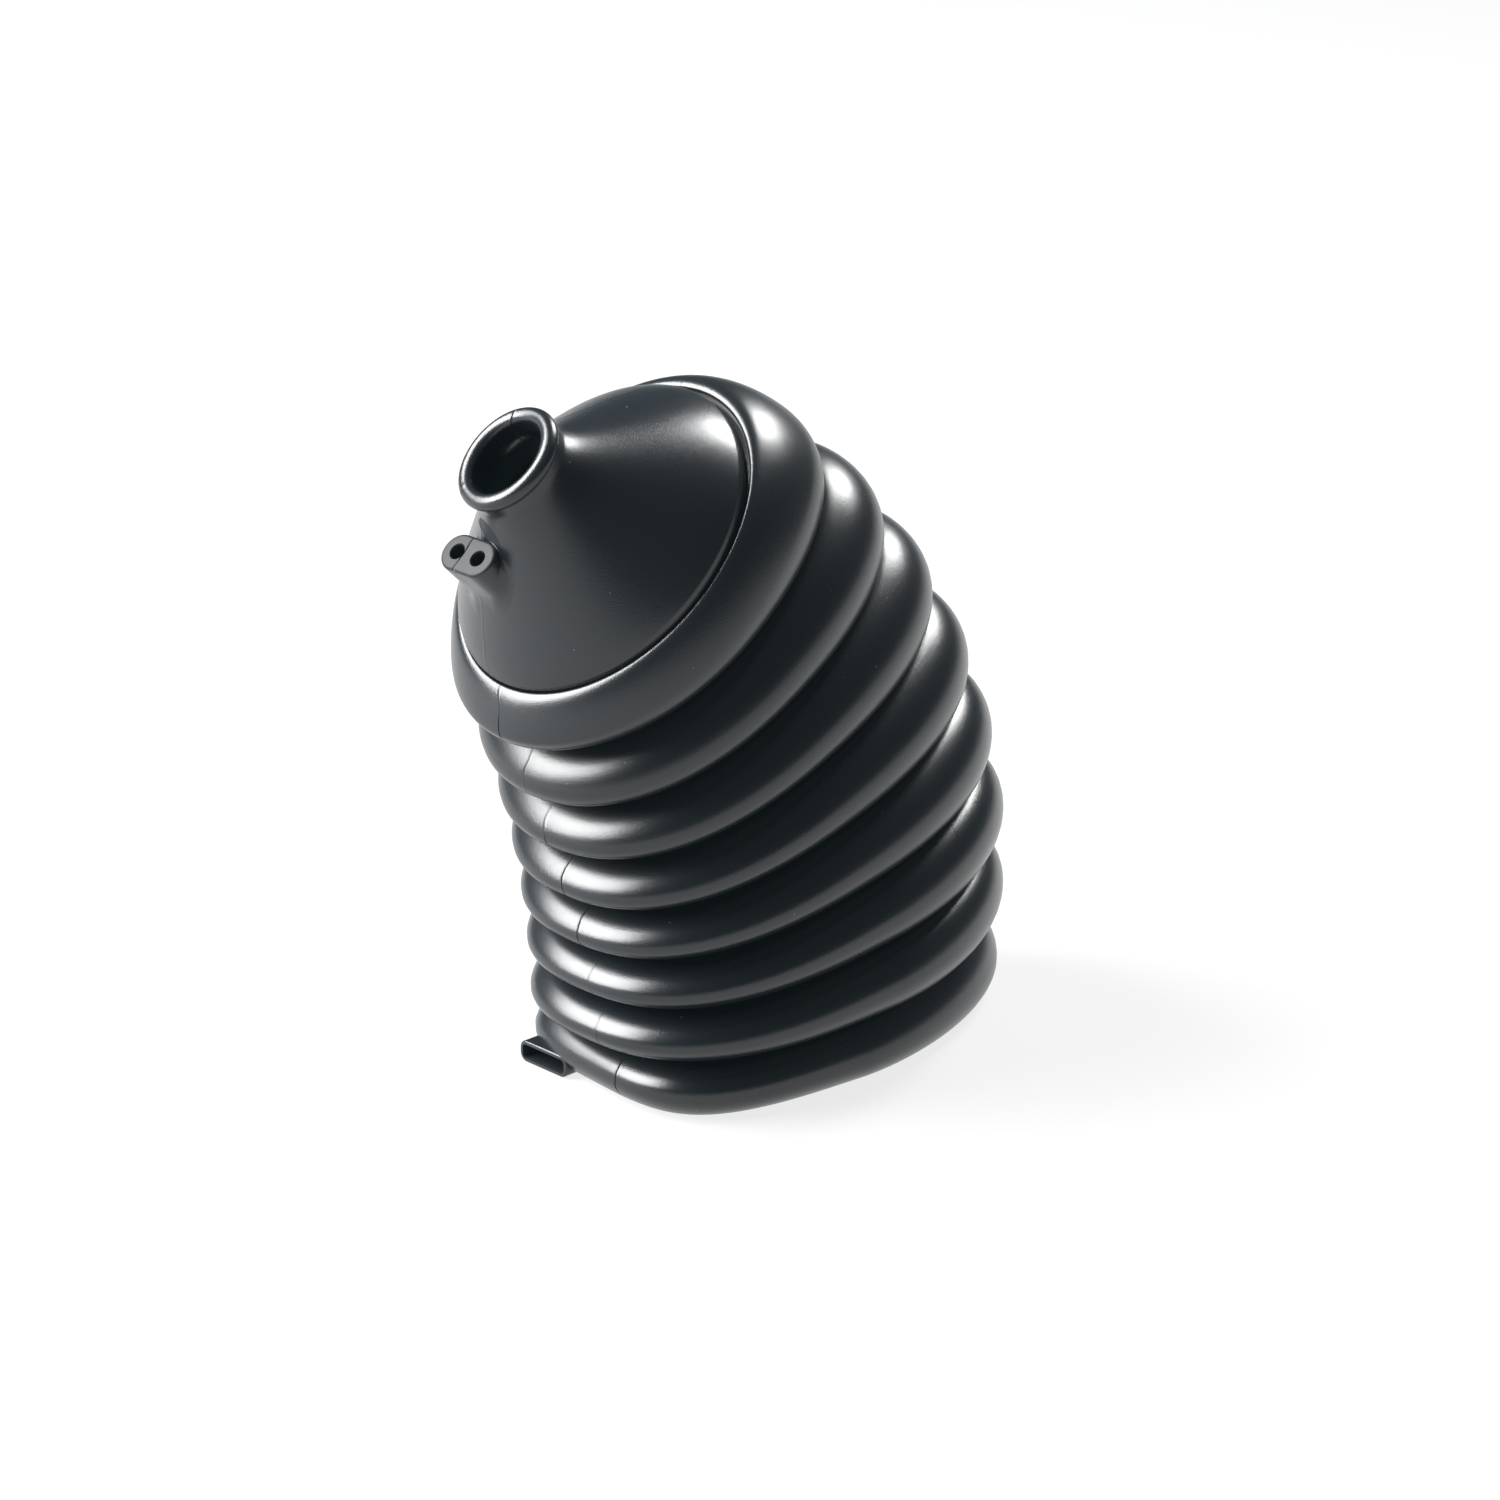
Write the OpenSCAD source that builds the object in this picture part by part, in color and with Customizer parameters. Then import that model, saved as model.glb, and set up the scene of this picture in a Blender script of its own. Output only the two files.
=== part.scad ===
// Rubber bellows boot: eight oval rolls on a leaning, curved centre line,
// closed by an oval domed cap with a round beaded neck, a twin-hole boss beside
// the neck and a flat drain port under the base roll.
// Millimetres, +Z up, standing on its base ring. The neck leans towards -X.

/* [Rolls] */
// Number of rolls in the stack
rolls = 8; // [5:1:10]
// Wall thickness of the moulding
wall = 2.2; // [1.6:0.1:3]
// Height of the base roll's crest above the floor
base_rise = 7.6; // [6:0.1:12]
// Share of the pitch left open between two rolls
fold_gap = 0.05; // [0.03:0.01:0.1]
// Depth of the closed slit behind each fold
fold_slit = 3; // [1:0.1:4]
// Fullness of a roll's section, where 1 is a plain cosine bulge
roll_fullness = 0.71; // [0.6:0.01:1]

/* [Guide ovals at the floor, one third, two thirds and the top roll] */
// Half width of the widest guide oval
body_half = 45.9; // [36:0.1:60]
// Share of that half width at each guide oval
guide_half = [0.985, 1, 0.987, 0.967]; // [0.7:0.005:1.2]
// Shift of the centre line towards the neck side
guide_shift = [0, 4.3, 22.7, 54.2]; // [0:0.1:90]
// Height above the floor
guide_height = [7.4, 51.1, 94.3, 137.3]; // [0:0.1:200]
// Lean in degrees
guide_lean = [0, 10.1, 23.4, 37.6]; // [0:0.1:60]
// Reach of the oval on the neck side
guide_front = [68.8, 67.5, 59.9, 49.8]; // [40:0.1:90]
// Reach of the oval on the far side
guide_back = [70.9, 74.5, 72, 61.1]; // [40:0.1:90]
// Squareness of the neck-side half, where 2 is a plain ellipse
square_front = [2.58, 2.49, 2.29, 2]; // [1.6:0.01:4.5]
// Squareness of the far half
square_back = [1.68, 1.97, 2.1, 2.04]; // [1.6:0.01:4.5]
// Fold depth on the neck side
fold_front = [9.4, 10.3, 11.6, 13.2]; // [4:0.1:15]
// Fold depth on the far side
fold_back = [6.4, 6.4, 6.3, 6]; // [4:0.1:15]

/* [Base roll] */
// Shift of the base roll's oval towards the neck side
base_shift = 3; // [0:0.1:6]
// Turn of the base roll's oval about the vertical in degrees
base_turn = -5; // [-6:0.5:6]
// Reach of the base roll on the neck side
base_front = 59.6; // [50:0.1:75]
// Reach of the base roll on the far side
base_back = 74; // [60:0.1:85]
// Half width of the base roll as a share of the widest guide oval
base_half = 0.922; // [0.8:0.001:1.05]
// Squareness of the base roll on the neck side and on the far side
base_square = [3.35, 1.65]; // [1.6:0.01:4.5]
// Depth of the curl under the base roll, as a share of the fold depth
base_curl = 0.8; // [0.5:0.05:1.2]

/* [Cap] */
// Centre of the cap's rim: shift and height
cap_centre = [62.9, 152.4]; // [0:0.1:220]
// Lean of the cap in degrees
cap_lean = 45.4; // [30:0.1:60]
// Half length of the rim
cap_length = 43.2; // [30:0.1:60]
// Half width of the rim
cap_half = 38.8; // [25:0.1:50]
// Radius of the rim's edge
rim_round = 2.2; // [1:0.1:4]
// Slope of the dome at the rim in degrees
dome_rise = 58; // [45:1:70]
// Fullness of the dome above the rim
dome_full = 27; // [20:0.5:40]
// Width of the groove round the rim
groove_width = 2; // [1:0.1:4]
// Depth of the groove below the rim's edge
groove_depth = 4.1; // [2:0.1:6]

/* [Neck] */
// Bore of the neck
bore_d = 20.6; // [14:0.1:24]
// Outer diameter of the neck under its bead
waist_d = 27; // [22:0.1:30]
// Diameter of the bead's section
bead_d = 4.3; // [2:0.1:5]
// Height of the bead above the rim, along the cap's axis
neck_height = 37.2; // [30:0.1:45]
// Offset of the neck from the cap's centre
neck_offset = 1.4; // [0:0.1:5]
// Lean of the neck in degrees
neck_lean = 44.6; // [30:0.1:60]
// Turn of the neck's lean about the vertical in degrees
neck_turn = 10.2; // [0:0.1:15]
// Pull of the neck's direction on the dome that runs into it
neck_pull = 17; // [10:0.5:24]
// Length of the straight neck up to the middle of the bead
neck_straight = 4; // [3:0.1:8]

/* [Boss] */
// Distance of the boss from the cap's centre
boss_offset = 24.1; // [20:0.1:30]
// Distance of the boss from the middle plane
boss_side = 6.2; // [0:0.1:9]
// Height of the boss's face above the rim
boss_height = 26.3; // [24:0.1:32]
// Spacing of the two holes
boss_pitch = 7.3; // [5:0.1:9]
// Diameter of the two holes
boss_hole_d = 3.9; // [2:0.1:5]
// Radius of the boss round each hole
boss_round = 5; // [3.5:0.05:6]
// Radius of the rounding at the boss's face
boss_edge = 0.9; // [0.5:0.1:1.5]
// Width of the fillet at the boss's foot
boss_fillet = 2.6; // [1:0.1:3]

/* [Port] */
// Outer width of the port
port_width = 17.5; // [12:0.1:24]
// Outer height of the port
port_height = 5.8; // [4:0.1:7]
// Wall of the port
port_wall = 1.1; // [0.8:0.1:1.5]
// Distance of the port from the middle plane
port_side = 23.3; // [18:0.1:26]
// Gap between the port and the floor
port_lift = 0.3; // [0.1:0.1:1]
// Radius of the port's corners
port_corner = 2.2; // [1.5:0.1:2.6]
// Distance that the port's mouth stands back from the base roll's end
port_back = 1.7; // [0:0.1:4]

/* [Hidden] */
rubber = [0.07, 0.075, 0.085];
around = 40;
waist = waist_d / 2;
bead = bead_d / 2;
bore = bore_d / 2;

// Curve through the four guide values at u = 0, 1/3, 2/3 and 1
function guide(v, u) =
    -v[0] * (3*u - 1) * (3*u - 2) * (u - 1) / 2
    + v[1] * 9 * u * (3*u - 2) * (u - 1) / 2
    - v[2] * 9 * u * (3*u - 1) * (u - 1) / 2
    + v[3] * u * (3*u - 1) * (3*u - 2) / 2;

// An oval is [shift, height, lean, front, back, half width, front and back squareness, turn]
function guide_oval(u) = [
    guide(guide_shift, u), guide(guide_height, u), guide(guide_lean, u),
    guide(guide_front, u), guide(guide_back, u), body_half * guide(guide_half, u),
    guide(square_front, u), guide(square_back, u), 0];

// The base roll has its own oval, carried up with the guides
function base_oval(u) = [
    base_shift + guide(guide_shift, u), base_rise + guide(guide_height, u) - guide_height[0],
    guide(guide_lean, u), base_front, base_back, body_half * base_half,
    base_square[0], base_square[1], base_turn];
function roll_oval(i, u) = i == 0 ? base_oval(u) : guide_oval(u);

// Point of an oval at angle t, moved in by d along its edge normal and up by h along its axis
function oval_pt(o, t, d = 0, h = 0) =
    let (c = cos(t), s = sin(t), ac = max(abs(c), 1e-6), as = max(abs(s), 1e-6),
         a = c < 0 ? o[3] : o[4], e = 2 / (c < 0 ? o[6] : o[7]),
         nx = sign(c) * pow(ac, 2 - e) / a, ny = sign(s) * pow(as, 2 - e) / o[5],
         l = norm([nx, ny]),
         x1 = a * sign(c) * pow(ac, e) - d * nx / l,
         y1 = o[5] * sign(s) * pow(as, e) - d * ny / l,
         x = x1 * cos(o[8]) - y1 * sin(o[8]), y = x1 * sin(o[8]) + y1 * cos(o[8]))
    [-o[0] + x * cos(o[2]) - h * sin(o[2]), y, o[1] + x * sin(o[2]) + h * cos(o[2])];

function ring(o, d = 0, h = 0) = [for (j = [0 : around - 1]) oval_pt(o, 360 * j / around, d, h)];

// Fold depth at height u and angle t
function fold(u, t) =
    let (w = (1 + cos(t)) / 2) guide(fold_front, u) * (1 - w) + guide(fold_back, u) * w;

// Distance between two crests at height u and angle t
function pitch(u, t) =
    norm(oval_pt(guide_oval(u + 0.01), t) - oval_pt(guide_oval(u - 0.01), t)) / 0.02 / (rolls - 1);

function unit(v) = v / norm(v);
function flip(v) = [for (k = [len(v) - 1 : -1 : 0]) v[k]];

// Outer skin of roll i at section angle a, from -90 under the crest to 90 above it
function roll_ring(i, a) =
    let (u = (i + sin(a) * (1 - fold_gap) / 2) / (rolls - 1), o = roll_oval(i, u),
         f = 1 - pow(cos(a) * cos(a), roll_fullness))
    [for (j = [0 : around - 1]) let (t = 360 * j / around) oval_pt(o, t, fold(i / (rolls - 1), t) * f)];

// Root of the slit between roll i and the next
function slit_ring(i) =
    let (u = (i + 0.5) / (rolls - 1), o = (roll_oval(i, u) + roll_oval(i + 1, u)) / 2)
    [for (j = [0 : around - 1]) let (t = 360 * j / around) oval_pt(o, t, fold(u, t) + fold_slit)];

// Inner skin of roll i at section angle a
function inner_ring(i, a) =
    [for (j = [0 : around - 1])
        let (t = 360 * j / around, v = i / (rolls - 1), k = 1 - fold_gap - 2 * wall / pitch(v, t))
        oval_pt(roll_oval(i, (i + sin(a) * k / 2) / (rolls - 1)), t,
            wall + (fold(v, t) + fold_slit) * (1 - pow(cos(a) * cos(a), roll_fullness)))];

// Base roll's lower half: it curls under and stands on a flat ring
function base_ring(a, d = 0) =
    let (o = base_oval(0), f = 1 - pow(cos(a) * cos(a), roll_fullness))
    [for (j = [0 : around - 1]) let (t = 360 * j / around)
        oval_pt(o, t, fold(0, t) * f * base_curl + d, -base_rise * sin(a))];

// Shoulder of the top roll from its crest oval to the groove round the cap
function shoulder(d, o, d1, h1, v) =
    [for (j = [0 : around - 1])
        let (t = 360 * j / around, c = oval_pt(guide_oval(1), t, d), g = oval_pt(o, t, d1, h1),
             w = unit(oval_pt(guide_oval(1), t) - oval_pt(guide_oval(0.999), t)),
             r = (g - c) - w * ((g - c) * w), k = 0.44 + 0.11 * cos(t))
        pow(1 - v, 3) * c + 3 * v * pow(1 - v, 2) * (c + (g - c - r) * k)
            + 3 * v * v * (1 - v) * (g - r * k) + pow(v, 3) * g];

// Cap: rim oval and the lip of the groove outside it
rim = [cap_centre[0], cap_centre[1], cap_lean, cap_length, cap_length, cap_half, 2, 2, 0];
cap_x = [cos(cap_lean), 0, sin(cap_lean)];
cap_n = [-sin(cap_lean), 0, cos(cap_lean)];
cap_o = [-cap_centre[0], 0, cap_centre[1]];
lip_o = cap_o + cap_x * (groove_width / 2 - 0.2) - cap_n * groove_depth;
lip = [-lip_o[0], lip_o[2], cap_lean - 1.7, cap_length + groove_width - 0.5,
    cap_length + groove_width - 0.5, cap_half + 0.5, 2, 2, 0];

// Neck: its axis, and the circle where the dome runs into it
neck_x = [cos(neck_lean) * cos(neck_turn), -cos(neck_lean) * sin(neck_turn), sin(neck_lean)];
neck_y = [sin(neck_turn), cos(neck_turn), 0];
neck_n = cross(neck_x, neck_y);
neck_o = cap_o + cap_n * neck_height - cap_x * neck_offset - neck_n * neck_straight;
function neck_pt(r, t, h) = neck_o + neck_x * r * cos(t) + neck_y * r * sin(t) + neck_n * h;

// Dome: a smooth curve from the rim's edge up into the neck, at share v of the way
function dome_pt(t, v, d) =
    let (a = 90 - dome_rise,
         p = oval_pt(rim, t, rim_round * (1 - cos(a)) + d * cos(a), rim_round * (sin(a) - 1) - d * sin(a)),
         q = oval_pt(rim, t, rim_round * (1 - cos(a)) + d * cos(a) + 0.01 * sin(a),
             rim_round * (sin(a) - 1) - d * sin(a) + 0.01 * cos(a)),
         g = unit(q - p) * (dome_full - d), n = neck_pt(d > 0 ? bore - 0.25 : waist, t, 0))
    (2*v*v*v - 3*v*v + 1) * p + (v*v*v - 2*v*v + v) * g
        + (3*v*v - 2*v*v*v) * n + (v*v*v - v*v) * neck_n * neck_pull;
function dome_ring(v, d = 0) = [for (j = [0 : around - 1]) dome_pt(360 * j / around, v, d)];
function neck_ring(r, h) = [for (j = [0 : around - 1]) neck_pt(r, 360 * j / around, h)];

// Height of the dome over the rim's plane at the cap's own x and y
function cap_xy(p) = [(p - cap_o) * cap_x, p[1]];
function dome_find(t, r, lo = 0, hi = 1, n = 14) =
    let (m = (lo + hi) / 2)
    n == 0 ? (dome_pt(t, m, 0) - cap_o) * cap_n
        : norm(cap_xy(dome_pt(t, m, 0))) > r ? dome_find(t, r, m, hi, n - 1) : dome_find(t, r, lo, m, n - 1);
function dome_height(x, y) = dome_find(atan2(y, x), norm([x, y]));

// Closed skin: rings up the outside, over the neck and back down the inside
outer_rings = concat(
    [for (a = [90, 62, 38, 16]) base_ring(a)],
    [for (a = [0, 28, 58, 90]) roll_ring(0, a)],
    [slit_ring(0)],
    [for (i = [1 : rolls - 2]) each concat(
        [for (a = [-90, -58, -28, 0, 28, 58, 90]) roll_ring(i, a)], [slit_ring(i)])],
    [for (a = [-90, -58, -28]) roll_ring(rolls - 1, a)],
    [for (v = [0, 0.25, 0.5, 0.75, 1]) shoulder(0, lip, 0, 0, v)],
    [ring(lip, 0.8, -1.3), ring(rim, 0.6, -rim_round - groove_depth + 0.4), ring(rim, 0, -rim_round)],
    [ring(rim, rim_round * (1 - cos(16)), rim_round * (sin(16) - 1))],
    [for (v = [0 : 0.125 : 1]) dome_ring(v)],
    [neck_ring(waist - 0.15, 1.5)]);
inner_rings = concat(
    [base_ring(90, wall + 0.6)],
    [for (a = [0, 50, 90]) inner_ring(0, a)],
    [for (i = [1 : rolls - 2]) each [for (a = [-90, -40, 40, 90]) inner_ring(i, a)]],
    [for (a = [-90, -40]) inner_ring(rolls - 1, a)],
    [for (v = [0, 0.5, 1]) shoulder(wall, rim, wall + 1.5, -rim_round - groove_depth - 1.9, v)],
    [for (v = [0, 0.2, 0.45, 0.7, 0.88, 1]) dome_ring(v, wall)],
    [neck_ring(bore - 0.25, 1.5)]);

// A closed solid from rings that run round in a loop
module ring_loop(rings) {
    n = len(rings[0]);
    m = len(rings);
    polyhedron(
        points = [for (r = rings) each r],
        faces = [for (k = [0 : m - 1], j = [0 : n - 1])
            let (a = k * n + j, b = k * n + (j + 1) % n,
                 c = ((k + 1) % m) * n + (j + 1) % n, d = ((k + 1) % m) * n + j)
            each [[a, c, b], [a, d, c]]],
        convexity = 20);
}

// A closed solid from rings stacked one on the next, with flat ends
module ring_stack(rings) {
    n = len(rings[0]);
    m = len(rings);
    polyhedron(
        points = [for (r = rings) each r],
        faces = concat(
            [[for (j = [0 : n - 1]) j]], [[for (j = [n - 1 : -1 : 0]) (m - 1) * n + j]],
            [for (k = [0 : m - 2], j = [0 : n - 1])
                let (a = k * n + j, b = k * n + (j + 1) % n, c = (k + 1) * n + (j + 1) % n, d = (k + 1) * n + j)
                each [[a, c, b], [a, d, c]]]),
        convexity = 4);
}

module on_neck() {
    translate(neck_o) rotate([0, -neck_lean, -neck_turn]) children();
}

module on_cap() {
    translate(cap_o) rotate([0, -cap_lean, 0]) children();
}

// Beaded end of the neck
module neck() {
    on_neck() rotate_extrude($fn = 72) polygon(concat(
        [[bore - 0.25, 0.5], [waist, 0.5]],
        [for (a = [-60 : 20 : 180]) [bore + bead + (bead + (a > 90 ? 0.25 * (a - 90) / 90 : 0)) * cos(a),
            neck_straight + bead * sin(a)]]));
}

// Boss: a twin-round section that seats on the dome with a fillet
boss_turn = 24;
function boss_edge_pt(j, d) =
    let (t = 360 * j / boss_turn + 360 / boss_turn / 2, y = sin(t) > 0 ? 1 : -1)
    [-boss_offset + (boss_round + d) * cos(t), boss_side + y * boss_pitch / 2 + (boss_round + d) * sin(t)];
module boss() {
    foot = [for (j = [0 : boss_turn - 1]) let (p = boss_edge_pt(j, 0)) dome_height(p[0], p[1])];
    fillet = [for (h = foot) max(0.4, min(boss_fillet, 0.45 * (boss_height - h)))];
    levels = concat(
        [[for (j = [0 : boss_turn - 1]) let (p = boss_edge_pt(j, fillet[j]))
            [p[0], p[1], dome_height(p[0], p[1]) - 1.3]]],
        [for (a = [82, 45, 12]) [for (j = [0 : boss_turn - 1])
            let (p = boss_edge_pt(j, fillet[j] * (1 - cos(a))))
            [p[0], p[1], dome_height(p[0], p[1]) + fillet[j] * (1 - sin(a)) - 0.1]]],
        [for (a = [0, 45, 75])
            [for (j = [0 : boss_turn - 1]) let (p = boss_edge_pt(j, boss_edge * (cos(a) - 1)))
                [p[0], p[1], boss_height - boss_edge + boss_edge * sin(a)]]]);
    on_cap() ring_stack(levels);
}
module boss_holes() {
    for (s = [-1, 1])
        on_cap() translate([-boss_offset, boss_side + s * boss_pitch / 2, 0])
            cylinder(d = boss_hole_d, h = boss_height + 2, $fn = 32);
}

// Port: a flat tube with rounded corners that lies under the base roll's curl
port_x = base_front + base_shift - port_back;
port_root = port_x - fold_front[0] - wall;
module flat_bar(w, h, c, x0, x1) {
    translate([-x1, port_side, port_lift + port_height / 2]) rotate([0, 90, 0]) {
        for (y = [-1, 1], z = [-1, 1]) translate([z * (h / 2 - c), y * (w / 2 - c), 0])
            cylinder(r = c, h = x1 - x0, $fn = 24);
        translate([-h / 2, c - w / 2, 0]) cube([h, w - 2 * c, x1 - x0]);
        translate([c - h / 2, -w / 2, 0]) cube([h - 2 * c, w, x1 - x0]);
    }
}
module port() {
    flat_bar(port_width, port_height, port_corner, port_root, port_x);
}
module port_slot() {
    flat_bar(port_width - 2 * port_wall, port_height - 2 * port_wall, port_corner - port_wall,
        port_root - 14, port_x + 5);
}

module bellows_boot() {
    color(rubber) difference() {
        union() {
            ring_loop(concat(outer_rings, flip(inner_rings)));
            neck();
            boss();
            port();
        }
        on_neck() translate([0, 0, -8]) cylinder(r = bore, h = neck_straight + 14, $fn = 72);
        boss_holes();
        port_slot();
    }
}

bellows_boot();
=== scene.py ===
import bpy
import bmesh
import math
import numpy as np
from mathutils import Matrix


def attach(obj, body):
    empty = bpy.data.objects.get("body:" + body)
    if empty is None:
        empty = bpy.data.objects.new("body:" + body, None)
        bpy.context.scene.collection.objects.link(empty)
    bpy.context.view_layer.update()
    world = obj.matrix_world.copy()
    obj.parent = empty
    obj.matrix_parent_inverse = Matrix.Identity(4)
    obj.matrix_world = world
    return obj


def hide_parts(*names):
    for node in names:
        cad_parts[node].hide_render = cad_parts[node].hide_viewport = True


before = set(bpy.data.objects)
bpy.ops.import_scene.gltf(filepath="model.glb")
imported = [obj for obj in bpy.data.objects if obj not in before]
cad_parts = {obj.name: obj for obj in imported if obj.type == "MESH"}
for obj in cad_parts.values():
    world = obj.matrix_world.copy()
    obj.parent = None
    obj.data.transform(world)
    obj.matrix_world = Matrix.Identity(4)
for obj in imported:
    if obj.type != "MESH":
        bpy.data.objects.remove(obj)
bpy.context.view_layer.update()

# Camera
# A long lens looks down on the boot's neck side, as the photograph does.
camera_turn, camera_rise = -0.7708, 0.374
camera_far, camera_aim = 1.5577, (-0.00696, 0.07173)
right_way = np.array([math.cos(camera_turn), math.sin(camera_turn), 0.0])
back_way = np.array([math.sin(camera_turn) * math.cos(camera_rise),
                     -math.cos(camera_turn) * math.cos(camera_rise), math.sin(camera_rise)])
up_way = np.cross(back_way, right_way)
camera_at = (right_way * camera_aim[0] + up_way * camera_aim[1] + back_way * camera_far
             + np.array([0.0, 0.0, 0.001]))
lens = bpy.data.cameras.new("camera")
lens.sensor_width = 36.0
lens.lens = 143.787
lens.clip_start, lens.clip_end = 0.05, 50.0
camera = bpy.data.objects.new("camera", lens)
camera.matrix_world = Matrix(np.vstack([
    np.column_stack([right_way, up_way, back_way, camera_at]), [0, 0, 0, 1]]).tolist())
bpy.context.scene.collection.objects.link(camera)
bpy.context.scene.camera = camera

# Bellows boot
# One moulding of black rubber: eight oval rolls on a leaning, curved centre line, an oval
# cap with a domed top inside a groove, and a round beaded neck. It is hollow with an even
# wall, stands on its base roll's foot and carries a fine flash line where the mould closed.
rolls, wall = 8, 2.2
base_rise, fold_gap, fold_slit, roll_fullness = 7.6, 0.05, 3.0, 0.71
guides = np.array([
    [0.0, 4.3, 22.7, 54.2],        # shift of the centre line towards the neck side
    [7.4, 51.1, 94.3, 137.3],      # height above the floor
    [0.0, 10.1, 23.4, 37.6],       # lean in degrees
    [68.8, 67.5, 59.9, 49.8],      # reach on the neck side
    [70.9, 74.5, 72.0, 61.1],      # reach on the far side
    [45.2, 45.9, 45.3, 44.4],      # half width
    [2.58, 2.49, 2.29, 2.0],       # squareness on the neck side
    [1.68, 1.97, 2.1, 2.04],       # squareness on the far side
    [9.4, 10.3, 11.6, 13.2],       # fold depth on the neck side
    [6.4, 6.4, 6.3, 6.0]])         # fold depth on the far side
base_shift, base_turn, base_front, base_back, base_half = 3.0, -5.0, 59.6, 74.0, 42.3
base_sq_front, base_sq_back, base_curl = 3.35, 1.65, 0.8
cap_shift, cap_high, cap_lean = 62.9, 152.4, 45.4
cap_length, cap_half, rim_round = 43.2, 38.8, 2.2
dome_rise, dome_full, dome_bulge, dome_full_turn = 58.0, 27.0, 1.2, 0.63
groove_width, groove_depth = 2.0, 4.1
bore, waist, bead = 10.3, 13.5, 2.15
neck_height, neck_offset, neck_lean, neck_turn, neck_straight = 37.2, 1.4, 44.6, 10.2, 4.0
neck_pull = 17.0
around, near_seam, close_reach = 240, 22, 0.03


def guide(k, u):
    """Row k of the guides at height u from 0 to 1: the cubic through its four values."""
    v, u = guides[k], np.asarray(u, float)
    return (-v[0] * (3 * u - 1) * (3 * u - 2) * (u - 1) / 2 + v[1] * 9 * u * (3 * u - 2) * (u - 1) / 2
            - v[2] * 9 * u * (3 * u - 1) * (u - 1) / 2 + v[3] * u * (3 * u - 1) * (3 * u - 2) / 2)


def guide_oval(u):
    """Oval at height u: shift, height, lean, two reaches, half width, two squarenesses, turn."""
    return [guide(k, u) for k in range(8)] + [0.0]


def base_oval(u):
    """The base roll's own oval, squarer and a little turned, carried up with the guides."""
    return [base_shift + guide(0, u), base_rise + guide(1, u) - guides[1, 0], guide(2, u),
            base_front, base_back, base_half, base_sq_front, base_sq_back, base_turn]


def roll_oval(i, u):
    """Oval of roll i at height u: roll 0 stands on the base's own oval."""
    return guide_oval(u) if i else base_oval(u)


def oval_points(oval, t, inset=0.0, lift=0.0):
    """Points of an oval at direction t: |x/a|^n + |y/b|^n = 1 with its own a and n in each half,
    moved in along its edge normal, up along its axis, then turned, leant and put in place."""
    shift, high, lean, front, back, half, sq_front, sq_back, turn = oval
    c, s = np.cos(t), np.sin(t)
    a = np.where(c < 0, front, back)
    n = np.where(c < 0, sq_front, sq_back)
    c1, s1 = np.maximum(np.abs(c), 1e-9), np.maximum(np.abs(s), 1e-9)
    r = ((c1 / a) ** n + (s1 / half) ** n) ** (-1 / n)
    x, y = r * c, r * s
    nx = np.sign(c) * (r * c1 / a) ** (n - 1) / a
    ny = np.sign(s) * (r * s1 / half) ** (n - 1) / half
    size = np.hypot(nx, ny)
    x, y = x - inset * nx / size, y - inset * ny / size
    turn, lean = np.radians(turn), np.radians(lean)
    x, y = x * np.cos(turn) - y * np.sin(turn), x * np.sin(turn) + y * np.cos(turn)
    return np.stack([-shift + x * np.cos(lean) - lift * np.sin(lean), y,
                     high + x * np.sin(lean) + lift * np.cos(lean)], -1)


def fold(u, t):
    """Fold depth at height u: it goes from the neck side to the far side as a cosine of t."""
    w = (1 + np.cos(t)) / 2
    return guide(8, u) * (1 - w) + guide(9, u) * w


def bulge(a):
    """Share of the fold depth at section angle a: 0 on the crest, 1 in the fold."""
    return 1 - (np.cos(a) ** 2) ** roll_fullness


def unit(v):
    """v at length 1."""
    return v / np.linalg.norm(v, axis=-1, keepdims=True)


cap_x = np.array([math.cos(math.radians(cap_lean)), 0.0, math.sin(math.radians(cap_lean))])
cap_n = np.array([-cap_x[2], 0.0, cap_x[0]])
cap_o = np.array([-cap_shift, 0.0, cap_high])
rim = [cap_shift, cap_high, cap_lean, cap_length, cap_length, cap_half, 2.0, 2.0, 0.0]
lip_o = cap_o + cap_x * (groove_width / 2 - 0.2) - cap_n * groove_depth
lip = [-lip_o[0], lip_o[2], cap_lean - 1.7, cap_length + groove_width - 0.5,
       cap_length + groove_width - 0.5, cap_half + 0.5, 2.0, 2.0, 0.0]
neck_y = np.array([math.sin(math.radians(neck_turn)), math.cos(math.radians(neck_turn)), 0.0])
neck_x = np.array([neck_y[1] * math.cos(math.radians(neck_lean)),
                   -neck_y[0] * math.cos(math.radians(neck_lean)), math.sin(math.radians(neck_lean))])
neck_n = np.cross(neck_x, neck_y)
neck_o = cap_o + cap_n * neck_height - cap_x * neck_offset - neck_n * neck_straight


def neck_points(radius, t, high):
    """Circle of the neck at a radius and a height along its own axis."""
    return (neck_o + neck_x * (radius * np.cos(t))[..., None]
            + neck_y * (radius * np.sin(t))[..., None] + neck_n * high)


def shoulder(t, inset, oval, inset2, lift2, v):
    """Cubic Bezier from the top roll's crest, leaving along the stack, to the groove's lip.
    Its handles are shares k1 and k2 of the way, shorter on the neck side."""
    c = oval_points(guide_oval(1.0), t, inset)
    g = oval_points(oval, t, inset2, lift2)
    w = unit(oval_points(guide_oval(1.0), t) - oval_points(guide_oval(0.999), t))
    r = (g - c) - w * np.sum((g - c) * w, -1, keepdims=True)
    k1, k2 = (0.34 + 0.21 * np.cos(t))[..., None], (0.44 + 0.11 * np.cos(t))[..., None]
    return ((1 - v) ** 3 * c + 3 * v * (1 - v) ** 2 * (c + (g - c - r) * k1)
            + 3 * v * v * (1 - v) * (g - r * k2) + v ** 3 * g)


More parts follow.
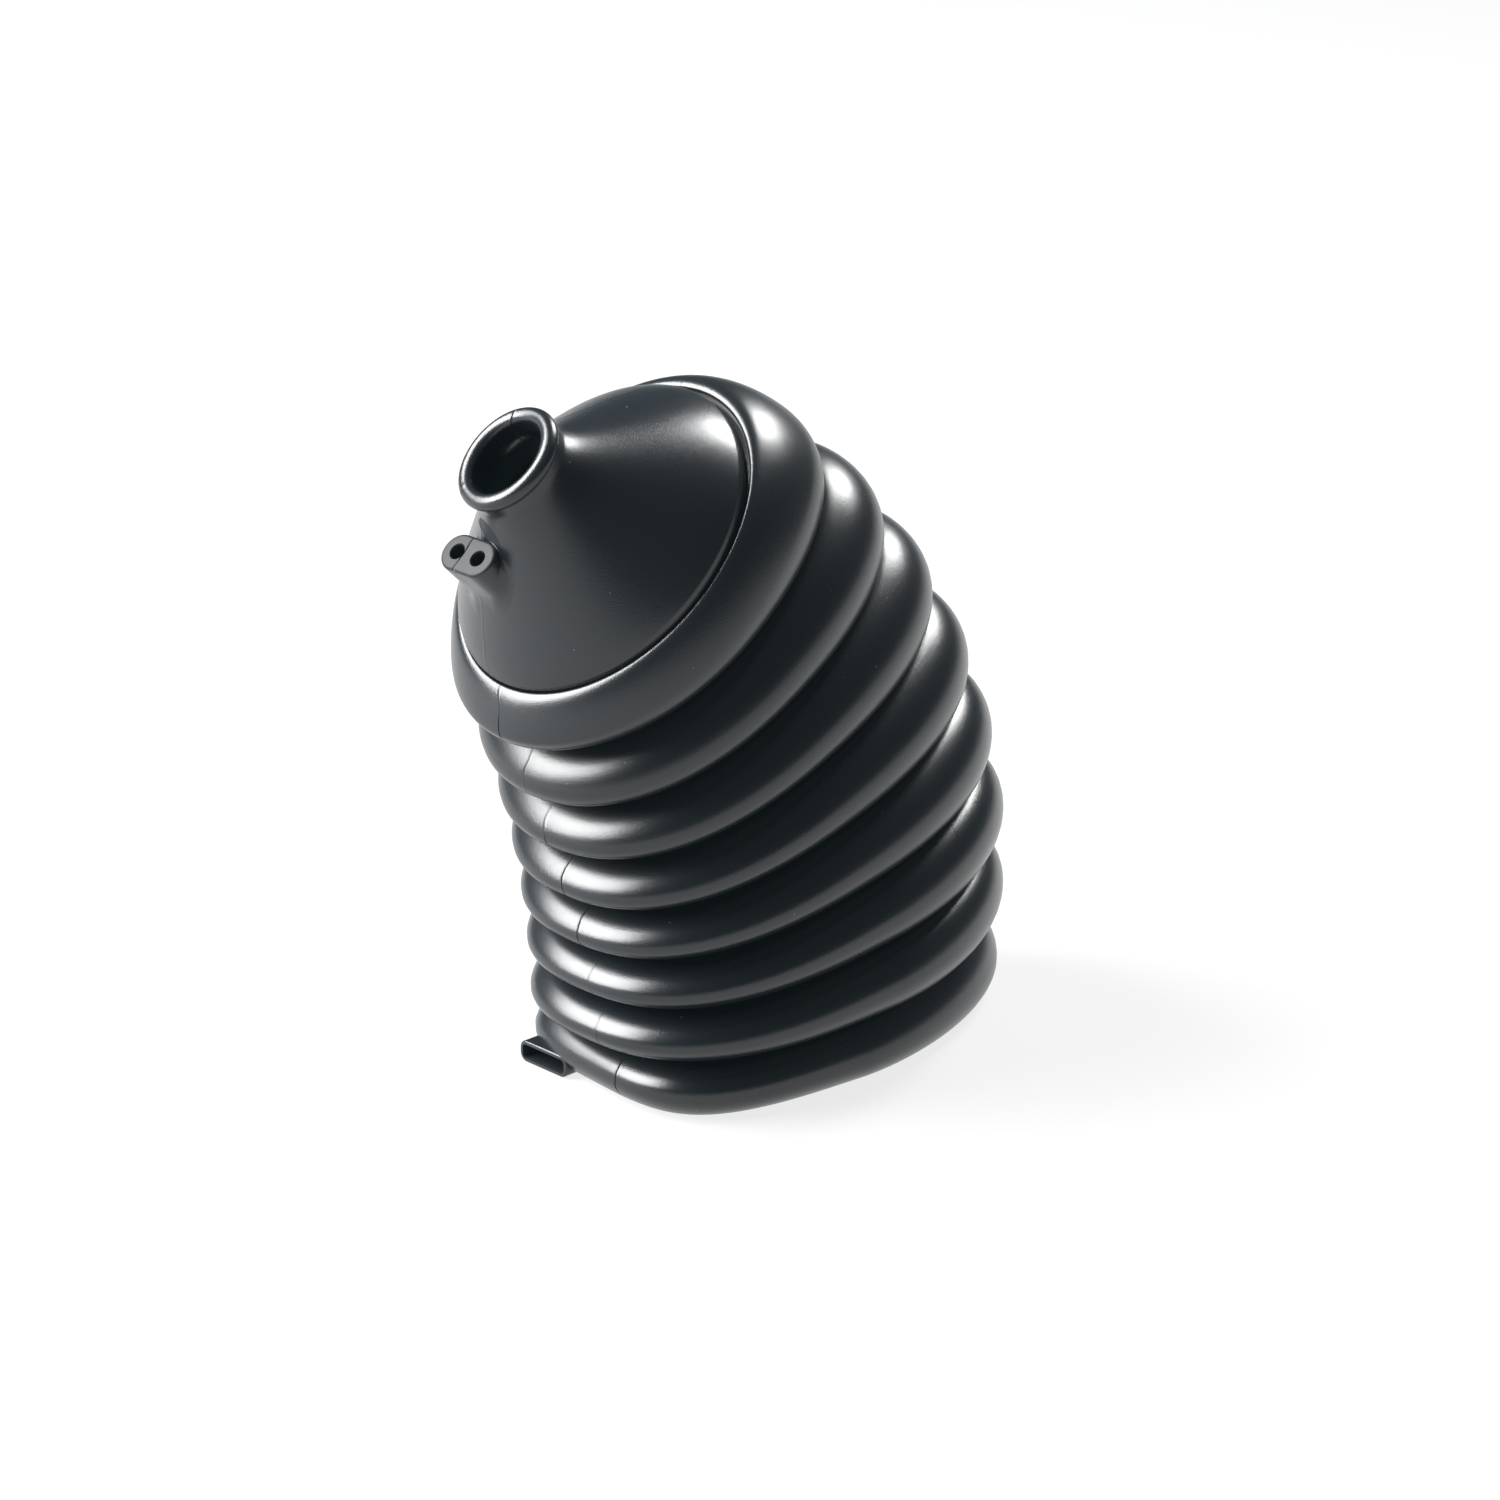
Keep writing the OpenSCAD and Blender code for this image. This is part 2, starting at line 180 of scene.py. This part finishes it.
def dome(t, v, inset=0.0):
    """Cubic Hermite curve from the rim's rounding, rising at dome_rise, to the neck's waist, with a
    fullness dome_bulge ((1 + cos(t + dome_full_turn)) / 2)^2 * 6.75 v (1 - v)^2 along the cap's axis."""
    a = math.radians(90 - dome_rise)
    low = rim_round * (math.sin(a) - 1) - inset * math.sin(a)
    side = rim_round * (1 - math.cos(a)) + inset * math.cos(a)
    p = oval_points(rim, t, side, low)
    step = 0.01
    g = unit(oval_points(rim, t, side + step * math.sin(a), low + step * math.cos(a)) - p)
    g = g * (dome_full - inset)
    n = neck_points(np.full_like(t, waist if inset == 0 else bore), t, 0.0)
    v = np.asarray(v)[..., None] if np.ndim(v) else v
    full = dome_bulge * ((1 + np.cos(t + dome_full_turn)) / 2)[..., None] ** 2 * (v * (1 - v) ** 2 * 6.75)
    return (full * cap_n + (2 * v ** 3 - 3 * v ** 2 + 1) * p + (v ** 3 - 2 * v ** 2 + v) * g
            + (3 * v ** 2 - 2 * v ** 3) * n + (v ** 3 - v ** 2) * neck_n * neck_pull)


def columns():
    """Directions round the boot: even, but close together at the middle of the neck side
    and of the far side, where the mould closes."""
    plain = np.linspace(0, 2 * math.pi, around, endpoint=False)
    close = np.linspace(-close_reach, close_reach, near_seam + 1)
    clear = close_reach + 0.005
    even = (np.abs(plain - math.pi) > clear) & (plain > clear) & (plain < 2 * math.pi - clear)
    t = np.concatenate([plain[even], math.pi + close, close])
    return np.sort(t % (2 * math.pi))


t = columns()
section = np.radians(np.linspace(-90, 90, 18))
# The outside, from the foot's lip up to the neck's bead.
outside = [oval_points(base_oval(0.0), t, fold(0.0, t) * bulge(a) * base_curl, -base_rise * math.sin(a))
           for a in np.radians([90, 80, 70, 60, 50, 40, 30, 20, 10])]
for i in range(rolls):
    if i:
        u = (i - 0.5) / (rolls - 1)
        between = (np.array(roll_oval(i, u)) + roll_oval(i - 1, u)) / 2
        outside += [oval_points(between, t, fold(u, t) + fold_slit)]
    for a in section:
        if (i or a >= 0) and (i < rolls - 1 or a < 0):
            u = (i + math.sin(a) * (1 - fold_gap) / 2) / (rolls - 1)
            outside.append(oval_points(roll_oval(i, u), t, fold(i / (rolls - 1), t) * bulge(a)))
outside += [shoulder(t, 0.0, lip, 0.0, 0.0, v) for v in np.linspace(0, 1, 20)]
# The groove: its outer lip turns down, then it rounds back up against the cap's side.
outside += [oval_points(lip, t, less, low) for less, low in ((0.25, -0.1), (0.6, -0.5), (0.8, -1.3))]
groove_floor = -rim_round - groove_depth
outside += [oval_points(rim, t, less, high)
            for less, high in ((0.6, groove_floor + 0.4), (0.1, groove_floor + 1.4), (0.0, -rim_round - 0.8))]
outside += [oval_points(rim, t, rim_round * (1 - math.cos(a)), rim_round * (math.sin(a) - 1))
            for a in np.radians(np.linspace(0, 90 - dome_rise, 6)[:-1])]
outside += [dome(t, v) for v in np.linspace(0, 1, 40)]
outside += [neck_points(np.full_like(t, waist), t, h) for h in (0.6, 1.2, 1.8)]
outside += [neck_points(np.full_like(t, bore + bead + bead * math.cos(a)), t,
                        neck_straight + bead * math.sin(a)) for a in np.radians(np.arange(-60, 181, 12))]
# The inside, from the neck down to the floor.
inside = [neck_points(np.full_like(t, bore), t, h) for h in (3.0, 1.0)]
inside += [dome(t, v, wall) for v in np.linspace(1, 0, 14)]
inside += [shoulder(t, wall, rim, wall + 1.5, -rim_round - groove_depth - 1.9, v)
           for v in (1, 0.75, 0.5, 0.25, 0)]
for i in range(rolls - 1, -1, -1):
    v = i / (rolls - 1)
    over, under = oval_points(guide_oval(v + 0.005), t), oval_points(guide_oval(v - 0.005), t)
    pitch = np.linalg.norm(over - under, axis=-1) * 100 / (rolls - 1)
    k = 1 - fold_gap - 2 * wall / pitch
    for a in np.radians([90, 60, 30, 0, -30, -60, -90]):
        if (i or a >= 0) and (i < rolls - 1 or a < 0):
            inside.append(oval_points(roll_oval(i, (i + math.sin(a) * k / 2) / (rolls - 1)), t,
                                      wall + (fold(v, t) + fold_slit) * bulge(a)))
inside += [oval_points(base_oval(0.0), t, fold(0.0, t) * bulge(a) * base_curl + wall + 0.6,
                       -base_rise * math.sin(a)) for a in np.radians([30, 60, 90])]
skin = np.array(outside + inside)


def closed_grid(name, grid):
    """A mesh from rings of points, closed both round the rings and from the last ring to the first."""
    m, n = grid.shape[:2]
    k, j = np.meshgrid(np.arange(m), np.arange(n), indexing="ij")
    k1, j1 = (k + 1) % m, (j + 1) % n
    faces = np.stack([k * n + j, k * n + j1, k1 * n + j1, k1 * n + j], -1).reshape(-1, 4)
    mesh = bpy.data.meshes.new(name)
    mesh.from_pydata((grid.reshape(-1, 3) / 1000).tolist(), [], faces.tolist())
    mesh.update()
    return mesh


boot_mesh = closed_grid("boot", skin)

# Boss beside the neck
# A stout boss with two holes is moulded onto the dome; a fillet runs round its foot and
# its face's edge is rounded. The holes go through the wall.
boss_offset, boss_side, boss_height = 24.1, 6.2, 26.3
boss_pitch, boss_hole, boss_round, boss_edge, boss_fillet = 7.3, 1.95, 5.0, 0.9, 2.6


def dome_height(x, y):
    """Height of the dome over the rim's plane at the cap's x and y, found by bisection."""
    t = np.arctan2(y, x)
    for _ in range(8):
        lo, hi = np.zeros_like(t), np.ones_like(t)
        for _ in range(22):
            m = (lo + hi) / 2
            p = dome(t, m) - cap_o
            far = np.hypot(p @ cap_x, p[..., 1]) > np.hypot(x, y)
            lo, hi = np.where(far, m, lo), np.where(far, hi, m)
        t = t + np.arctan2(y, x) - np.arctan2(p[..., 1], p @ cap_x)
    return p @ cap_n


def boss_outline(s, out):
    """Two half circles about the holes, joined by straight sides, grown outwards by out."""
    c, sn = np.cos(s), np.sin(s)
    return (-boss_offset + (boss_round + out) * c,
            boss_side + np.where(sn > 0, 1, -1) * boss_pitch / 2 + (boss_round + out) * sn)


s = np.linspace(0, 2 * math.pi, 97)[:-1] + math.pi / 96
foot = dome_height(*boss_outline(s, 0.0))
fillet = np.clip((boss_height - foot) * 0.45, 0.4, boss_fillet)
levels = []
for out, low in ((1.0, -1.4), (1.15, -0.5)):
    x, y = boss_outline(s, fillet * out)
    levels.append((x, y, dome_height(x, y) + low))
for a in np.radians(np.linspace(90, 0, 9)):
    x, y = boss_outline(s, fillet * (1 - np.cos(a)))
    levels.append((x, y, dome_height(x, y) + fillet * (1 - np.sin(a))))
for a in np.radians(np.linspace(0, 90, 7)):
    x, y = boss_outline(s, boss_edge * (math.cos(a) - 1))
    levels.append((x, y, np.full_like(x, boss_height - boss_edge + boss_edge * math.sin(a))))


def cap_place(x, y, h):
    """From the cap's own x, y and height to the boot's frame."""
    return cap_o + x[..., None] * cap_x + y[..., None] * np.array([0.0, 1.0, 0.0]) + h[..., None] * cap_n


def stack(name, rings):
    """A closed solid from rings stacked one on the next, with a flat face at each end."""
    m, n = rings.shape[:2]
    k, j = np.meshgrid(np.arange(m - 1), np.arange(n), indexing="ij")
    j1 = (j + 1) % n
    faces = np.stack([k * n + j, k * n + j1, (k + 1) * n + j1, (k + 1) * n + j], -1).reshape(-1, 4).tolist()
    faces += [list(range(n))[::-1], [(m - 1) * n + i for i in range(n)]]
    mesh = bpy.data.meshes.new(name)
    mesh.from_pydata((rings.reshape(-1, 3) / 1000).tolist(), [], faces)
    mesh.update()
    return mesh


boss_mesh = stack("boss", np.array([cap_place(*l) for l in levels]))
drills = []
for side in (-1, 1):
    p = np.linspace(0, 2 * math.pi, 49)[:-1]
    rings = []
    for r, h in ((0, -22.0), (0, -0.4), (0.08, -0.2), (0.28, -0.02), (0.5, 0.25), (0.5, 2.0)):
        rings.append(cap_place(-boss_offset + (boss_hole + r) * np.cos(p),
                               boss_side + side * boss_pitch / 2 + (boss_hole + r) * np.sin(p),
                               np.full_like(p, boss_height + h)))
    drills.append(stack("drill", np.array(rings)))

# Drain port
# A flat tube with rounded corners is moulded under the base roll's curl. Its mouth stands
# just clear of the roll on the neck side, beside the middle.
port_end, port_side, port_width, port_high = 60.9, 23.3, 17.5, 5.8
port_lift, port_wall, port_corner = 0.3, 1.1, 2.2


def port_ring(x, less, corner):
    """Rounded rectangle across the port at x, drawn in by less on every side."""
    p = np.linspace(0, 2 * math.pi, 65)[:-1] + math.pi / 64
    w, h = port_width / 2 - less, port_high / 2 - less
    c = min(corner, h)
    return np.stack([np.full_like(p, x), port_side + np.sign(np.cos(p)) * (w - c) + c * np.cos(p),
                     port_lift + port_high / 2 + np.sign(np.sin(p)) * (h - c) + c * np.sin(p)], -1)


edge = 0.35
port_mesh = stack("port", np.array([port_ring(-port_end + 14, 0, port_corner)]
                  + [port_ring(-port_end + edge - edge * math.sin(a), edge * (1 - math.cos(a)), port_corner)
                     for a in np.radians([0, 30, 60, 90])]))
slot_mesh = stack("slot", np.array([port_ring(-port_end + 28, port_wall, port_corner - port_wall),
                  port_ring(-port_end + 0.3, port_wall, port_corner - port_wall),
                  port_ring(-port_end + 0.05, port_wall - 0.15, port_corner - port_wall + 0.15),
                  port_ring(-port_end - 3, port_wall - 0.25, port_corner - port_wall + 0.25)]))

# The moulding as one skin: boss and port joined on, holes and slot cut through.
boot = bpy.data.objects.new("rubber_boot", boot_mesh)
bpy.context.scene.collection.objects.link(boot)


def join_or_cut(target, mesh, way):
    """Joins a closed shape to the boot, or cuts it away, and keeps the result as its mesh."""
    mesh.update()
    work = bmesh.new()
    work.from_mesh(mesh)
    bmesh.ops.recalc_face_normals(work, faces=work.faces)
    work.to_mesh(mesh)
    work.free()
    tool = bpy.data.objects.new("tool", mesh)
    bpy.context.scene.collection.objects.link(tool)
    step = target.modifiers.new("step", "BOOLEAN")
    step.object, step.operation, step.solver = tool, way, "EXACT"
    done = bpy.data.meshes.new_from_object(target.evaluated_get(bpy.context.evaluated_depsgraph_get()))
    target.modifiers.clear()
    target.data = done
    bpy.data.objects.remove(tool)


work = bmesh.new()
work.from_mesh(boot.data)
bmesh.ops.recalc_face_normals(work, faces=work.faces)
work.to_mesh(boot.data)
work.free()
join_or_cut(boot, boss_mesh, "UNION")
join_or_cut(boot, port_mesh, "UNION")
for d in drills:
    join_or_cut(boot, d, "DIFFERENCE")
join_or_cut(boot, slot_mesh, "DIFFERENCE")
boot.data.name = "rubber_boot"
boot.data.shade_smooth()
boot.data.set_sharp_from_angle(angle=math.radians(50))

rubber = bpy.data.materials.new("black_rubber")
rubber.use_nodes = True
nodes, links = rubber.node_tree.nodes, rubber.node_tree.links
skin_shader = nodes["Principled BSDF"]
where = nodes.new("ShaderNodeTexCoord")


def math_node(way, a, b=None, c=None):
    """A math node; each input is a socket or a number."""
    node = nodes.new("ShaderNodeMath")
    node.operation = way
    for k, value in enumerate((a, b, c)):
        if isinstance(value, (int, float)):
            node.inputs[k].default_value = value
        elif value is not None:
            links.new(value, node.inputs[k])
    return node.outputs[0]


def noise(scale, detail=2.0):
    """A noise value from 0 to 1 on the object's coordinates."""
    node = nodes.new("ShaderNodeTexNoise")
    node.inputs["Scale"].default_value = scale
    node.inputs["Detail"].default_value = detail
    links.new(where.outputs["Object"], node.inputs["Vector"])
    return node.outputs["Fac"]


# The mould's parting line: its distance from the middle plane by height, in metres.
split = nodes.new("ShaderNodeSeparateXYZ")
links.new(where.outputs["Object"], split.inputs[0])
path = nodes.new("ShaderNodeFloatCurve")
line = path.mapping.curves[0]
line_points = [(0.0, -6.0), (0.02, -5.5), (0.04, -3.5), (0.055, -1.2), (0.07, 0.6), (0.09, 2.0), (0.11, 1.0),
               (0.119, 2.5), (0.124, 7.5), (0.135, 8.0), (0.155, 7.5), (0.17, 7.0), (0.19, 5.0)]
for k, (z, y) in enumerate(line_points):
    p = (z / 0.2, y / 20 + 0.5)
    if k < 2:
        line.points[k].location = p
    else:
        line.points.new(*p)
path.mapping.update()
links.new(math_node("MULTIPLY", split.outputs["Z"], 5.0), path.inputs["Value"])
line_y = math_node("MULTIPLY_ADD", path.outputs[0], 0.02, -0.01)
wander = math_node("MULTIPLY_ADD", noise(160.0), 0.0022, -0.0011)
off = math_node("SUBTRACT", math_node("SUBTRACT", split.outputs["Y"], line_y), wander)
near = math_node("ABSOLUTE", off)
strength = nodes.new("ShaderNodeMapRange")
strength.inputs["From Min"].default_value, strength.inputs["From Max"].default_value = 0.42, 0.56
links.new(noise(45.0), strength.inputs["Value"])
width = math_node("MULTIPLY_ADD", strength.outputs[0], 0.00022, 0.00008)
crack = math_node("MULTIPLY", math_node("SUBTRACT", 1.0, math_node("DIVIDE", near, width)), 1.6)
crack = math_node("MAXIMUM", math_node("MINIMUM", crack, 1.0), 0.0)
crack = math_node("MULTIPLY", crack, math_node("MULTIPLY_ADD", strength.outputs[0], 0.65, 0.35))

# Dust: pale specks at the middles of a few cells.
cells = nodes.new("ShaderNodeTexVoronoi")
cells.inputs["Scale"].default_value = 150.0
links.new(where.outputs["Object"], cells.inputs["Vector"])
speck = math_node("LESS_THAN", cells.outputs["Distance"], 0.035)
split_cell = nodes.new("ShaderNodeSeparateColor")
links.new(cells.outputs["Color"], split_cell.inputs[0])
speck = math_node("MULTIPLY", speck, math_node("GREATER_THAN", split_cell.outputs[0], 0.35))

shade = nodes.new("ShaderNodeMix")
shade.data_type = "RGBA"
shade.inputs["A"].default_value = (0.0045, 0.0062, 0.0080, 1)
shade.inputs["B"].default_value = (0.10, 0.11, 0.12, 1)
links.new(speck, shade.inputs["Factor"])
links.new(shade.outputs["Result"], skin_shader.inputs["Base Color"])
# A very weak glow stands in for the photograph's veil, which keeps the folds from full black.
skin_shader.inputs["Emission Color"].default_value = (0.55, 0.9, 1.0, 1)
skin_shader.inputs["Emission Strength"].default_value = 0.006

# The boss's face is duller than the skin: within face_reach of its middle and at its level.
from_face = nodes.new("ShaderNodeVectorMath")
from_face.operation = "SUBTRACT"
from_face.inputs[1].default_value = cap_place(*np.array([-boss_offset, boss_side, boss_height])) / 1000
links.new(where.outputs["Object"], from_face.inputs[0])
away = nodes.new("ShaderNodeVectorMath")
away.operation = "LENGTH"
level = nodes.new("ShaderNodeVectorMath")
level.operation = "DOT_PRODUCT"
level.inputs[1].default_value = cap_n
for node in (away, level):
    links.new(from_face.outputs[0], node.inputs[0])
face_reach, face_depth = 0.0095, 0.0003
dull = math_node("MULTIPLY", math_node("LESS_THAN", away.outputs["Value"], face_reach),
                 math_node("GREATER_THAN", level.outputs["Value"], -face_depth))
less_shine = math_node("MINIMUM", math_node("ADD", crack, math_node("MULTIPLY", dull, 0.55)), 1.0)
links.new(math_node("MULTIPLY_ADD", less_shine, -0.6, 0.6), skin_shader.inputs["Specular IOR Level"])
gloss = math_node("MULTIPLY_ADD", noise(28.0, 3.0), 0.08, 0.24)
gloss = math_node("MULTIPLY_ADD", dull, 0.25, gloss)
links.new(math_node("MAXIMUM", gloss, crack), skin_shader.inputs["Roughness"])

# The moulded skin's grain, and the low ridge of the flash line.
ridge = math_node("MAXIMUM", math_node("SUBTRACT", 1.0, math_node("DIVIDE", near, 0.0006)), 0.0)
press = nodes.new("ShaderNodeBump")
press.inputs["Strength"].default_value = 0.35
press.inputs["Distance"].default_value = 0.00012
links.new(math_node("MULTIPLY_ADD", ridge, 1.2, noise(2600.0, 3.0)), press.inputs["Height"])
links.new(press.outputs["Normal"], skin_shader.inputs["Normal"])
boot.data.materials.clear()
boot.data.materials.append(rubber)
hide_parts("bellows_boot")
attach(boot, "root")

# Floor
# A white studio table that fills the picture and keeps the boot's soft shadow.
floor_mesh = bpy.data.meshes.new("floor")
floor_mesh.from_pydata([(-6, -6, 0), (6, -6, 0), (6, 6, 0), (-6, 6, 0)], [], [(0, 1, 2, 3)])
floor = bpy.data.objects.new("floor", floor_mesh)
bpy.context.scene.collection.objects.link(floor)
white = bpy.data.materials.new("white_table")
white.use_nodes = True
nodes, links = white.node_tree.nodes, white.node_tree.links
table_shader = nodes["Principled BSDF"]
table_shader.inputs["Base Color"].default_value = (0.11, 0.11, 0.11, 1)
table_shader.inputs["Roughness"].default_value = 0.9
table_shader.inputs["Specular IOR Level"].default_value = 0.2
table_shader.inputs["Emission Color"].default_value = (1, 1, 1, 1)
table_shader.inputs["Emission Strength"].default_value = 0.8
floor.data.materials.append(white)

# Light
# A dim room with two soft boxes: a large one at the left and a small one behind at the
# right. The white table throws their light up again.
bpy.context.scene.view_settings.view_transform = "Standard"
world = bpy.data.worlds.new("room")
bpy.context.scene.world = world
world.use_nodes = True
nodes, links = world.node_tree.nodes, world.node_tree.links
room = nodes["Background"]
room.inputs["Color"].default_value = (0.75, 0.9, 1, 1)
room.inputs["Strength"].default_value = 0.13


def soft_box(name, turn, rise, far, roll, size, radiance):
    """An area lamp of a given radiance, far metres off at a turn and rise, rolled about its axis."""
    lamp = bpy.data.lights.new(name, "AREA")
    lamp.shape, lamp.size, lamp.size_y = "RECTANGLE", size[0], size[1]
    lamp.energy = radiance * math.pi * size[0] * size[1]
    box = bpy.data.objects.new(name, lamp)
    turn, rise, roll = math.radians(turn), math.radians(rise), math.radians(roll)
    back = np.array([math.cos(rise) * math.cos(turn), math.cos(rise) * math.sin(turn), math.sin(rise)])
    level = np.array([-math.sin(turn), math.cos(turn), 0.0])
    high = np.cross(back, level)
    side, up = level * math.cos(roll) + high * math.sin(roll), high * math.cos(roll) - level * math.sin(roll)
    box.matrix_world = Matrix(np.vstack([
        np.column_stack([side, up, back, back * far + (0, 0, 0.08)]), [0, 0, 0, 1]]).tolist())
    bpy.context.scene.collection.objects.link(box)
    return box


soft_box("left_box", 139, 36, 1.6, 36, (1.15, 1.7), 22)
soft_box("back_box", 8, 42, 0.9, -8, (0.24, 0.4), 28)
